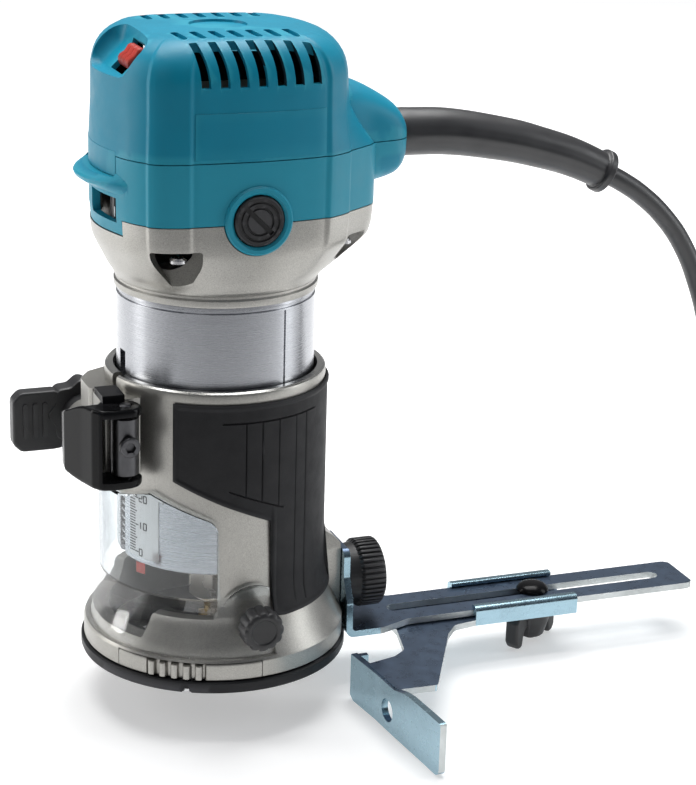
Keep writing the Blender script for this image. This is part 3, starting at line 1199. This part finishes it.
# ---------------------------------------------------------------- clear guard
def guard_sec(d):
    a = abs(d)
    dx = abs(a - 87.3) * math.radians(1) * GUARD_R
    low = 27.6
    arc = 23.0 + (math.sqrt(11.4 ** 2 - dx * dx) if dx < 11.4 else 0.0)
    k = max(0.0, min(1.0, (10.6 - dx) / 2.5))
    low = max(low, arc) if dx < 10.2 else low
    top = low if a < 103.5 else (low + (54.0 - low) * smooth01((a - 103.5) / 1.5) if a < 105 else max(54.0, win(a)[2][1] + 0.7))
    t = 1.4
    o = [(p.x, p.z) for p in catmull([(43.4, 0, 11.5), (42.9, 0, 14.0), (41.6, 0, 16.8), (40.2, 0, 20.0), (39.2, 0, 24.5), (GUARD_R, 0, 30.0)], 3)]
    i = [(r - t, z + 0.3) for r, z in o]
    i[0] = (o[0][0] - t, 11.5)
    rim = [(GUARD_R, top - 0.5), (GUARD_R - 0.3, top), (GUARD_R - t + 0.3, top), (GUARD_R - t, top - 0.5)]
    return o + rim + i[::-1]


gd = [-79.0] + frange(-79.8, -103.2, 34) + [-103.5, -104.0, -104.5, -105.0, -105.8, -106.8, -108.0] + frange(-110.0, -180.0, 44)
gd = gd + [-360 - g for g in gd[:-1][::-1]]
guard = strip(gd, lambda d: guard_sec(d if d > -180.01 else -360 - d))
for s in (-1, 1):
    guard = cut(guard, disc("y", (SCREW_X, 23.0), 2.8, s * 34, s * 46, 32))
shell = show("guard_shell", guard, ["clear", "clear_foot"], "base", ["clear_guard"], bevel=0.25, sharp=30,
             pick=lambda f: 1 if f.calc_center_median().z < 30.0 else 0)
shell.visible_shadow = False

mark = strip(frange(-148.6, -143.0, 6), lambda d: [(GUARD_R - 1.46, 36.2), (GUARD_R - 1.42, 36.2), (GUARD_R - 1.42, 39.9), (GUARD_R - 1.46, 39.9)])
show("pointer_mark", mark, "red", "base", (), fix=False)
for s, tag in ((-1, "front"), (1, "rear")):
    y0, y1 = (36.0, 50.4)
    def fl(r, z, d):
        k = (d % 30.0)
        t = abs(k - 15.0) / 15.0
        return -0.55 * (1 - t) ** 2 if r > 6.0 else 0.0
    prof = [(0, s * 35.0), (2.1, s * 35.0), (2.1, s * 40.6), (3.6, s * 40.8), (3.6, s * 43.2), (6.5, s * 43.2), (7.0, s * 43.6), (7.0, s * 49.0),
            (6.5, s * 49.9), (5.6, s * 50.3), (5.0, s * 50.4), (4.4, s * 50.3), (4.0, s * 49.9), (0, s * 49.8)]
    show("thumb_screw_" + tag, turned("y", (SCREW_X, 23.0), prof, 144, wob=fl), "black", tag + "_screw", ["guard_screw_" + tag], sharp=35)

# ---------------------------------------------------------------- depth drive
hub = []
for i in range(160):
    t = 2 * math.pi * i / 160
    r = 11.3 + 0.8 * math.cos(8 * t)
    hub.append((KNOB_AXIS[0] + r * math.cos(t), KNOB_AXIS[1] + r * math.sin(t)))
hubrings = []
for y, k in ((38.6, 0.955), (39.0, 0.985), (39.8, 1.0), (45.2, 1.0), (46.1, 0.98), (46.6, 0.93)):
    hubrings.append([(KNOB_AXIS[0] + (x - KNOB_AXIS[0]) * k, y, KNOB_AXIS[1] + (z - KNOB_AXIS[1]) * k) for x, z in hub])
knob = join(loft(hubrings), disc("y", KNOB_AXIS, 7.0, 31.6, 39.5, 64))
pad = rounded([(-42.0, 59.9), (-46.0, 59.5), (-57.0, 59.5), (-59.8, 62.4), (-59.8, 78.0), (-57.0, 80.8), (-45.0, 80.8), (-41.0, 78.5)],
              [2, 2, 3.2, 3.2, 3.2, 3.2, 3, 3], 6)
pd = prism(pad, "y", 38.9, 45.0)
bmesh.ops.bevel(pd, geom=[e for e in pd.edges if abs(e.verts[0].co.y - e.verts[1].co.y) < 1e-6], offset=0.9, segments=3, affect="EDGES", profile=0.5)
knob = join(knob, pd)
ribs = []
for x in (-55.6, -52.2, -48.8):
    rb = prism(rounded([(x - 0.75, 64.5), (x + 0.75, 64.5), (x + 0.75, 76.8), (x - 0.75, 76.8)], 0.7, 4), "y", 38.2, 45.7)
    ribs.append(rb)
knob = join(knob, *ribs)
knob = cut(knob, disc("y", KNOB_AXIS, 3.3, 30, 36.4, 24), disc("y", KNOB_AXIS, 4.6, 46.0, 47, 48))
show("height_knob", knob, "black", "depth_drive", ["depth_knob"], bevel=0.2, sharp=32)

# ---------------------------------------------------------------- sleeve clamp
bolt = turned("y", (BOLT_X, BOLT_Z), [(0, -31.9), (2.9, -31.9), (3.3, -31.5), (3.3, -29.9), (2.5, -29.6), (2.5, 12.0), (2.1, 12.5), (0, 12.5)], 48)
hexa = [(BOLT_X + 1.75 * math.cos(math.radians(60 * i)), BOLT_Z + 1.75 * math.sin(math.radians(60 * i))) for i in range(6)]
show("clamp_bolt_detail", cut(bolt, prism(hexa, "y", -33, -30.5)), "steel_dark", "base", ["clamp_bolt"], bevel=0.1, segs=1)
pin = lathe([(0, 68.6), (1.5, 68.6), (1.9, 69.0), (1.9, 73.0), (4.4, 73.0), (4.4, 91.8), (1.9, 91.8), (1.9, 95.6), (1.5, 96.0), (0, 96.0)], 48, PIVOT)
show("lever_pin_detail", cut(pin, disc("y", (BOLT_X, BOLT_Z), 2.8, -31, -19, 24)), "steel_dark", "base", ["lever_pin"], bevel=0.1, segs=1)


def lever():
    def rel(pts):
        return [(PIVOT[0] + x, PIVOT[1] + y) for x, y in pts]
    nose = [(5.3 * math.cos(math.radians(t)), 5.3 * math.sin(math.radians(t))) for t in range(80, -81, -10)]
    shape = nose + rounded([(-5.0, -5.6), (-9.0, -4.8), (-11.2, -1.6), (-12.8, 3.4), (-13.56, 5.4), (-14.32, 7.4),
                            (-15.08, 9.4), (-15.84, 11.4), (-16.6, 13.4), (-16.5, 15.4), (-16.4, 17.6), (-14.2, 19.2), (-11.4, 18.4),
                            (-8.2, 9.0), (-7.8, 5.3)], [0, 3, 4, 3, 0, 0, 0, 0, 1.5, 0, 2, 2, 2, 3, 0], 5)
    rings = []
    zs = [(69.0, 0.90), (69.25, 0.955), (69.7, 0.985), (70.4, 1.0), (94.2, 1.0), (94.9, 0.985), (95.35, 0.955), (95.6, 0.90)]
    cx, cy = -4.5, 3.0
    for z, k in zs:
        rings.append([(PIVOT[0] + cx + (x - cx) * k, PIVOT[1] + cy + (y - cy) * k, z) for x, y in shape])
    bm = loft(rings)
    inner = rel(rounded([(9, 9), (9, -9), (-8.6, -9), (-8.6, -1.0), (-10.2, 4.0), (-13.6, 13.2), (-12.8, 30), (5, 30)],
                        [0, 0, 0, 2, 3, 3, 0, 0], 5))
    bm = cut(bm, prism(inner, "z", 71.6, 93.0))
    bm = join(bm, box(-43.8, -36.6, -22.0, -19.6, 94.8, 98.0), box(-43.8, -36.6, -21.0, -11.5, 95.75, 98.0))
    # the lever tapers in height towards its free end
    for vtx in bm.verts:
        t = max(0.0, min(1.0, (vtx.co.y - PIVOT[1] - 1.0) / 19.0))
        k = 1.0 - 0.46 * (smooth01(t) if vtx.co.z > 82.3 else 1.0 - math.sqrt(1.0 - 0.97 * t * t))
        if vtx.co.z > 94.7 and vtx.co.x > -43.9 and vtx.co.y < -11.4:
            continue
        vtx.co.z = 82.3 + (vtx.co.z - 82.3) * k
    return cut(bm, disc("z", PIVOT, 2.2, 67, 99, 32))


show("quick_lever", lever(), "gloss", "lever", ["clamp_lever"], bevel=0.5, segs=3, sharp=35)

# ---------------------------------------------------------------- rack, scale
for n_, m_ in (("height_rack", "steel"), ("pinion_shaft", "steel"), ("depth_scale", "scale")):
    NODES[n_].data.materials.clear()
    NODES[n_].data.materials.append(M[m_])
GLY = {"0": [(0, 0), (0.62, 0), (0.62, 1), (0, 1), (0, 0)], "1": [(0.31, 0), (0.31, 1)], "2": [(0, 1), (0.62, 1), (0.62, 0.5), (0, 0.5), (0, 0), (0.62, 0)]}


def stroke(p, q, w, r0):
    """Thin printed bar between two points (deg, z) just above the strip."""
    (a0, z0), (a1, z1) = p, q
    k = math.radians(1) * 32.8
    dx, dz = (a1 - a0) * k, z1 - z0
    L = math.hypot(dx, dz)
    nx, nz = -dz / L * w / 2, dx / L * w / 2
    pts = []
    for (aa, zz, sx) in ((a0, z0, 1), (a1, z1, 1), (a1, z1, -1), (a0, z0, -1)):
        pts.append((aa + sx * nx / k, zz + sx * nz))
    inner_, outer_ = [], []
    for aa, zz in pts:
        t = math.radians(aa)
        inner_.append((r0 * math.cos(t), r0 * math.sin(t), zz))
        outer_.append(((r0 + 0.05) * math.cos(t), (r0 + 0.05) * math.sin(t), zz))
    return loft([inner_, outer_])


prints = []
for k in range(0, 41):
    z = 40.7 + k * 0.945
    if z > 83:
        break
    ln = 4.4 if k % 10 == 0 else (3.7 if k % 5 == 0 else 2.9)
    prints.append(stroke((-162.8, z), (-162.8 + ln / 32.8 * 57.3, z), 0.46, 32.78))
for k, lab in ((0, "0"), (10, "10"), (20, "20"), (30, "30")):
    z = 40.7 + k * 0.945
    a0 = -154.4
    for ch in lab:
        g = GLY.get(ch) or [(0, 1), (0.62, 1), (0.3, 0.55), (0.62, 0.5), (0.62, 0), (0, 0)]
        for (x0, y0), (x1, y1) in zip(g, g[1:]):
            prints.append(stroke((a0 + x0 * 2.1 / 32.8 * 57.3, z - 1.1 + y0 * 2.3), (a0 + x1 * 2.1 / 32.8 * 57.3, z - 1.1 + y1 * 2.3), 0.42, 32.78))
        a0 += 2.0 / 32.8 * 57.3
show("scale_print", together(*prints), "print", "motor", (), fix=False)

# ---------------------------------------------------------------- straight guide
zt = GUIDE_Z + GUIDE_T
xf = FLAT_X + 0.3
prof = rounded([(xf, GUIDE_Z), (GUIDE_END, GUIDE_Z), (GUIDE_END, zt), (xf + GUIDE_T, zt), (xf + GUIDE_T, 31.0), (xf, 31.0)],
               [2.9, 0.35, 0.35, 1.2, 0.35, 0.35], 8)
bracket = prism(prof, "y", -15.2, 15.2)
plan = rounded([(40, -15.0), (57.0, -15.0), (68.0, -GUIDE_HALF), (GUIDE_END, -GUIDE_HALF), (GUIDE_END, GUIDE_HALF),
                (68.0, GUIDE_HALF), (57.0, 15.0), (40, 15.0)], [0, 5, 5, 3.2, 3.2, 5, 5, 0], 8)
bracket = both(bracket, prism(plan, "z", -2, 40))
face = rounded([(-15.0, -2), (15.0, -2), (15.0, 13.0), (11.0, 21.0), (11.0, 31.0), (-11.0, 31.0), (-11.0, 21.0), (-15.0, 13.0)],
               [0, 0, 3, 3, 3, 3, 3, 3], 6)
bracket = both(bracket, prism(face, "x", 40, 190))
sl = rounded([(SLOT_X0, -SLOT_HALF), (SLOT_X1, -SLOT_HALF), (SLOT_X1, SLOT_HALF), (SLOT_X0, SLOT_HALF)], SLOT_HALF, 10)
bracket = cut(bracket, prism(sl, "z", -2, 5), disc("x", (0, 18.0), 3.4, 42, 47, 48))


def zinc_face(f):
    if f.normal.z > 0.75:
        return 1
    c = f.calc_center_median()
    if abs(f.normal.z) < 0.3 and c.z < 3.5 and f.calc_area() > 0.1 and c.x > 47:
        return 2
    return 0


show("guide_plate", bracket, ["zinc", "zinc_top", "zinc_cut"], "base", ["guide_bracket"], bevel=0.28, segs=3, pick=zinc_face, sharp=34)

GX = xf + GUIDE_T + 0.3
def ribs(r, z, d):
    if r < 11.5:
        return 0.0
    t = (d % 9.0) / 9.0
    return -0.75 * smooth01((abs(t - 0.5) - 0.22) / 0.12)
gk = turned("x", (0, 18.0), [(0, 36.4), (2.9, 36.4), (2.9, GX), (9.6, GX), (10.2, GX + 0.5), (10.9, GX + 4.3), (11.6, GX + 4.9), (12.0, GX + 5.4), (12.0, GX + 12.2),
                             (11.6, GX + 12.9), (10.8, GX + 13.4), (8.6, GX + 13.4), (8.0, GX + 12.9), (0, GX + 12.9)], 320, wob=ribs)
show("guide_clamp_knob", gk, "black", "clamp_knob", ["guide_knob"], sharp=30)


def fence():
    ztop, z0 = -0.2, -2.4
    plan = rounded([(63.0, 10.2), (63.0, -12.5), (59.5, -28.5), (54.5, -32.5), (43.4, -35.5), (45.9, -57.0), (60.0, -57.5),
                    (79.0, -21.0), (84.0, -14.8), (CARR_X0, -13.2), (CARR_X1, -13.2), (CARR_X1, 13.2), (CARR_X0, 13.2),
                    (CARR_X0, 10.2)], [0.8, 0, 4, 3, 0.5, 0.5, 1.5, 3, 4, 2, 0, 0, 0, 0], 6)
    bm = prism(plan, "z", z0, ztop)
    yi = GUIDE_HALF + 0.35
    lip = rounded([(yi, z0 + 0.2), (yi, 2.9), (yi - 1.5, 2.95), (yi - 1.5, 4.4), (yi + 2.4, 4.6), (yi + 2.4, z0 + 0.2)],
                  [0, 0.3, 0.5, 0.6, 2.0, 0.4], 6)
    for s in (-1, 1):
        bm = join(bm, prism([(s * y, z) for y, z in lip], "x", CARR_X0, CARR_X1))
    # the fence: one bent sheet from its far lip to its near end
    path = [(41.0, -26.0), (42.0, -33.0), (43.0, -40.0), (43.45, -43.0), (43.75, -46.0), (44.3, -52.0), (45.9, -67.0), (47.0, -77.0), (47.75, -84.5),
            (48.0, -87.0), (48.1, -88.0)]
    dense = [(p.x, p.y) for p in catmull([(x, y, 0) for x, y in path], 3)]
    rings = []
    for k, (x, y) in enumerate(dense):
        a, b = dense[max(k - 1, 0)], dense[min(k + 1, len(dense) - 1)]
        dv = Vector((b[0] - a[0], b[1] - a[1])).normalized()
        nx, ny = -dv.y * 2.3, dv.x * 2.3
        top = -0.45 if y > -57 else -0.45 + 2.05 * smooth01((-57 - y) / 8.0)
        bot = FLOOR
        e = (y + 88.0)
        if e < 2.6:                                  # rounded lower near corner
            bot = FLOOR + 2.6 - math.sqrt(max(0.0, 2.6 ** 2 - (2.6 - e) ** 2))
            top = top - (0.9 - math.sqrt(max(0.0, 0.81 - (0.9 - min(e, 0.9)) ** 2)))
        e2 = (-26.0 - y)
        if e2 < 1.5:
            bot = FLOOR + 1.5 - math.sqrt(max(0.0, 1.5 ** 2 - (1.5 - e2) ** 2))
        rings.append([(x, y, bot), (x + nx, y + ny, bot), (x + nx, y + ny, top), (x, y, top)])
    bm = join(bm, loft(rings))
    bm = join(bm, box(41.8, 46.5, -28.4, -26.35, -6.0, -0.5))
    return cut(bm, disc("z", (CARR_BOLT_X, 0), 2.9, -4, 1, 32), disc("x", (-52.0, -9.8), 4.0, 40, 50, 48))


def fence_pick(f):
    c = f.calc_center_median()
    n = f.normal
    if n.z > 0.75 and c.z < 3.6:
        return 1 if c.z < 0.2 else 0
    if abs(n.z) < 0.3 and -2.3 < c.z < -0.1 and c.y > -57.4 and f.calc_area() < 160 and c.x < CARR_X0 and not (c.x < 46.5):
        return 2
    if c.z < -16.7 or (n.y < -0.9 and c.y < -86):
        return 2
    return 0


show("fence_plate", fence(), ["zinc", "zinc_top", "zinc_cut"], "carriage", ["fence_carriage"], bevel=0.3, segs=3, pick=fence_pick, sharp=34)
dome = [(p.x, p.z) for p in catmull([(5.8, 0, zt + 0.3), (5.7, 0, zt + 0.9), (5.0, 0, zt + 1.9), (3.6, 0, zt + 2.7), (1.8, 0, zt + 3.05), (0.0, 0, zt + 3.1)], 3)]
cb = lathe([(0, -15.5), (2.0, -15.5), (2.4, -15.0), (2.4, zt + 0.3)] + dome, 64, (CARR_BOLT_X, 0))
show("carriage_bolt_detail", cb, "gloss", "carriage", ["carriage_bolt"], sharp=40)
wn = lathe([(2.7, -14.2), (4.4, -14.2), (5.0, -13.6), (6.6, -8.0), (6.6, -3.2), (6.2, -2.8), (2.7, -2.8)], 64, (CARR_BOLT_X, 0))
for s in (-1, 1):
    wp = rounded([(s * 3.9, -3.4), (s * 11.5, -4.2), (s * 13.0, -6.4), (s * 13.0, -14.2), (s * 11.4, -16.6), (s * 8.6, -16.6),
                  (s * 7.6, -10.2), (s * 3.9, -9.4)], [0, 2.2, 2.2, 2.4, 2.2, 2.2, 3, 0], 6)
    w = prism([(CARR_BOLT_X + x, z) for x, z in wp], "y", -2.6, 2.6)
    bmesh.ops.bevel(w, geom=[e for e in w.edges if abs(e.verts[0].co.y - e.verts[1].co.y) < 1e-6], offset=1.0, segments=3, affect="EDGES", profile=0.5)
    w.transform(Matrix.Translation((CARR_BOLT_X, 0, 0)) @ Matrix.Rotation(math.radians(33), 4, "Z") @ Matrix.Translation((-CARR_BOLT_X, 0, 0)))
    wn = join(wn, w)
wn = cut(wn, disc("z", (CARR_BOLT_X, 0), 2.7, -20, 0, 32))
show("wing_nut_detail", wn, "black", "wing", ["wing_nut"], bevel=0.2, sharp=35)

# ---------------------------------------------------------------- spindle end, seen through the window
nut = prism(rounded([(9.6 * math.cos(math.radians(60 * i + 13)), 9.6 * math.sin(math.radians(60 * i + 13))) for i in range(6)], 1.2, 4), "z", 17.0, 30.0)
nut = both(nut, lathe([(0, 17), (7.6, 17), (9.4, 18.6), (9.6, 20), (9.6, 27.6), (9.2, 29.0), (7.8, 30), (0, 30)], 96))
nut = cut(nut, lathe([(0, 16), (5.3, 16), (5.3, 40), (0, 40)], 48))
show("collet_nut_detail", nut, "chrome", "rotor", ["collet_nut"], bevel=0.15)
bit = lathe([(0, 3.0), (2.3, 3.0), (2.6, 3.3), (2.6, 10.5), (3.0, 12.0), (3.0, 18.1), (0, 18.1)], 48)
show("bit_body", bit, "chrome", "rotor", ["router_bit"], bevel=0.1, segs=1)
tips = []
for s in (0, 1):
    wg = prism(rounded([(0.5, -0.6), (5.2, -0.6), (5.2, 0.2), (4.6, 0.9), (0.5, 0.9)], 0.15, 2), "z", 3.2, 11.0)
    wg.transform(Matrix.Rotation(math.pi * s, 4, "Z"))
    tips.append(wg)
show("bit_edges", together(*tips), "carbide", "rotor", (), bevel=0.08, segs=1)

for n_, m_ in {"field_stator": "laminate", "lower_bearing": "steel", "upper_bearing": "steel", "bearing_bridge": "black",
               "brush_holder_front": "brass", "brush_holder_rear": "brass", "carbon_brush_front": "carbon",
               "carbon_brush_rear": "carbon", "switch_body": "black", "speed_controller": "board", "cord_clamp": "black",
               "armature_shaft": "steel", "armature_core": "laminate", "commutator": "copper", "cooling_fan": "black",
               "collet_cone": "steel"}.items():
    NODES[n_].data.materials.clear()
    NODES[n_].data.materials.append(M[m_])

# ================================================================ floor and light
fm, nt, b = mat("studio_floor")
b.inputs["Roughness"].default_value = 0.9
tc = nt.nodes.new("ShaderNodeTexCoord")
dt = nt.nodes.new("ShaderNodeVectorMath")
dt.operation = "DOT_PRODUCT"
dt.inputs[1].default_value = (math.sin(math.radians(17.0)), math.cos(math.radians(17.0)), 0.0)
nt.links.new(tc.outputs["Object"], dt.inputs[0])
depth = nt.nodes.new("ShaderNodeMapRange")
depth.inputs["From Min"].default_value = -0.55
depth.inputs["From Max"].default_value = -0.13
nt.links.new(dt.outputs["Value"], depth.inputs["Value"])
nt.links.new(ramp(nt, depth.outputs["Result"], [(0.0, (0.08, 0.085, 0.095)), (1.0, (0.72, 0.72, 0.72))]), b.inputs["Base Color"])
lift = nt.nodes.new("ShaderNodeMapRange")
lift.inputs["From Min"].default_value = -0.22
lift.inputs["From Max"].default_value = 0.50
lift.inputs["To Min"].default_value = 0.28
lift.inputs["To Max"].default_value = 0.68
nt.links.new(dt.outputs["Value"], lift.inputs["Value"])
nt.links.new(lift.outputs["Result"], b.inputs["Emission Strength"])
b.inputs["Emission Color"].default_value = (1.0, 1.0, 1.0, 1.0)
fl = bmesh.new()
bmesh.ops.create_grid(fl, x_segments=2, y_segments=2, size=8.0)
fme = bpy.data.meshes.new("floor")
fl.to_mesh(fme)
fl.free()
fme.materials.append(fm)
floor = bpy.data.objects.new("floor", fme)
floor.location = (0, 0, -0.0004)
SCN.collection.objects.link(floor)

w = bpy.data.worlds.new("studio")
SCN.world = w
w.use_nodes = True
wn_ = w.node_tree
bg = wn_.nodes["Background"]
tc = wn_.nodes.new("ShaderNodeTexCoord")
sep = wn_.nodes.new("ShaderNodeVectorMath")
sep.operation = "DOT_PRODUCT"
sep.inputs[1].default_value = (0.55 * math.sin(math.radians(17.0)), 0.55 * math.cos(math.radians(17.0)), 0.75)
wn_.links.new(tc.outputs["Generated"], sep.inputs[0])
fr = wn_.nodes.new("ShaderNodeMapRange")
fr.inputs["From Min"].default_value = -0.7
fr.inputs["From Max"].default_value = 0.9
wn_.links.new(sep.outputs["Value"], fr.inputs["Value"])
r_ = wn_.nodes.new("ShaderNodeValToRGB")
el = r_.color_ramp.elements
el[0].position, el[0].color = 0.0, (0.10, 0.105, 0.12, 1)
el[1].position, el[1].color = 1.0, (1.0, 1.0, 1.0, 1)
e = el.new(0.35)
e.color = (0.16, 0.17, 0.20, 1)
e = el.new(0.65)
e.color = (0.50, 0.53, 0.60, 1)
wn_.links.new(fr.outputs["Result"], r_.inputs["Fac"])
wn_.links.new(r_.outputs["Color"], bg.inputs["Color"])
bg.inputs["Strength"].default_value = 0.32


def area(name, loc, aim, size, power, color=(1, 1, 1), size_y=None):
    l = bpy.data.lights.new(name, "AREA")
    l.energy = power
    l.color = color
    l.size = size
    if size_y:
        l.shape = "RECTANGLE"
        l.size_y = size_y
    o = bpy.data.objects.new(name, l)
    SCN.collection.objects.link(o)
    o.location = loc
    d = (Vector(aim) - Vector(loc)).normalized()
    o.rotation_euler = d.to_track_quat("-Z", "Y").to_euler()
    return o


MID = (0.0, 0.0, 0.11)
# directions are given in the camera's frame, turned to the row frame
def around(x, y, z):
    v = to_tool((x, y, z))
    return (v.x - 0.03, v.y, v.z)


area("side_left", around(-1.05, 0.10, 0.42), MID, 0.34, 4.0, (1.0, 0.99, 0.97), 0.85)
area("side_right", around(1.05, -0.02, 0.42), MID, 0.34, 3.4, (0.97, 0.99, 1.0), 0.85)
area("front_soft", around(-0.55, -1.15, 0.95), MID, 0.6, 1.0, (1, 1, 1), 0.6)
area("top", around(-0.05, 0.30, 1.30), MID, 1.1, 23.0, (1, 1, 1), 0.9)
SCN.view_settings.view_transform = "Standard"
SCN.view_settings.look = "None"
SCN.view_settings.exposure = 0.0

bpy.context.view_layer.update()
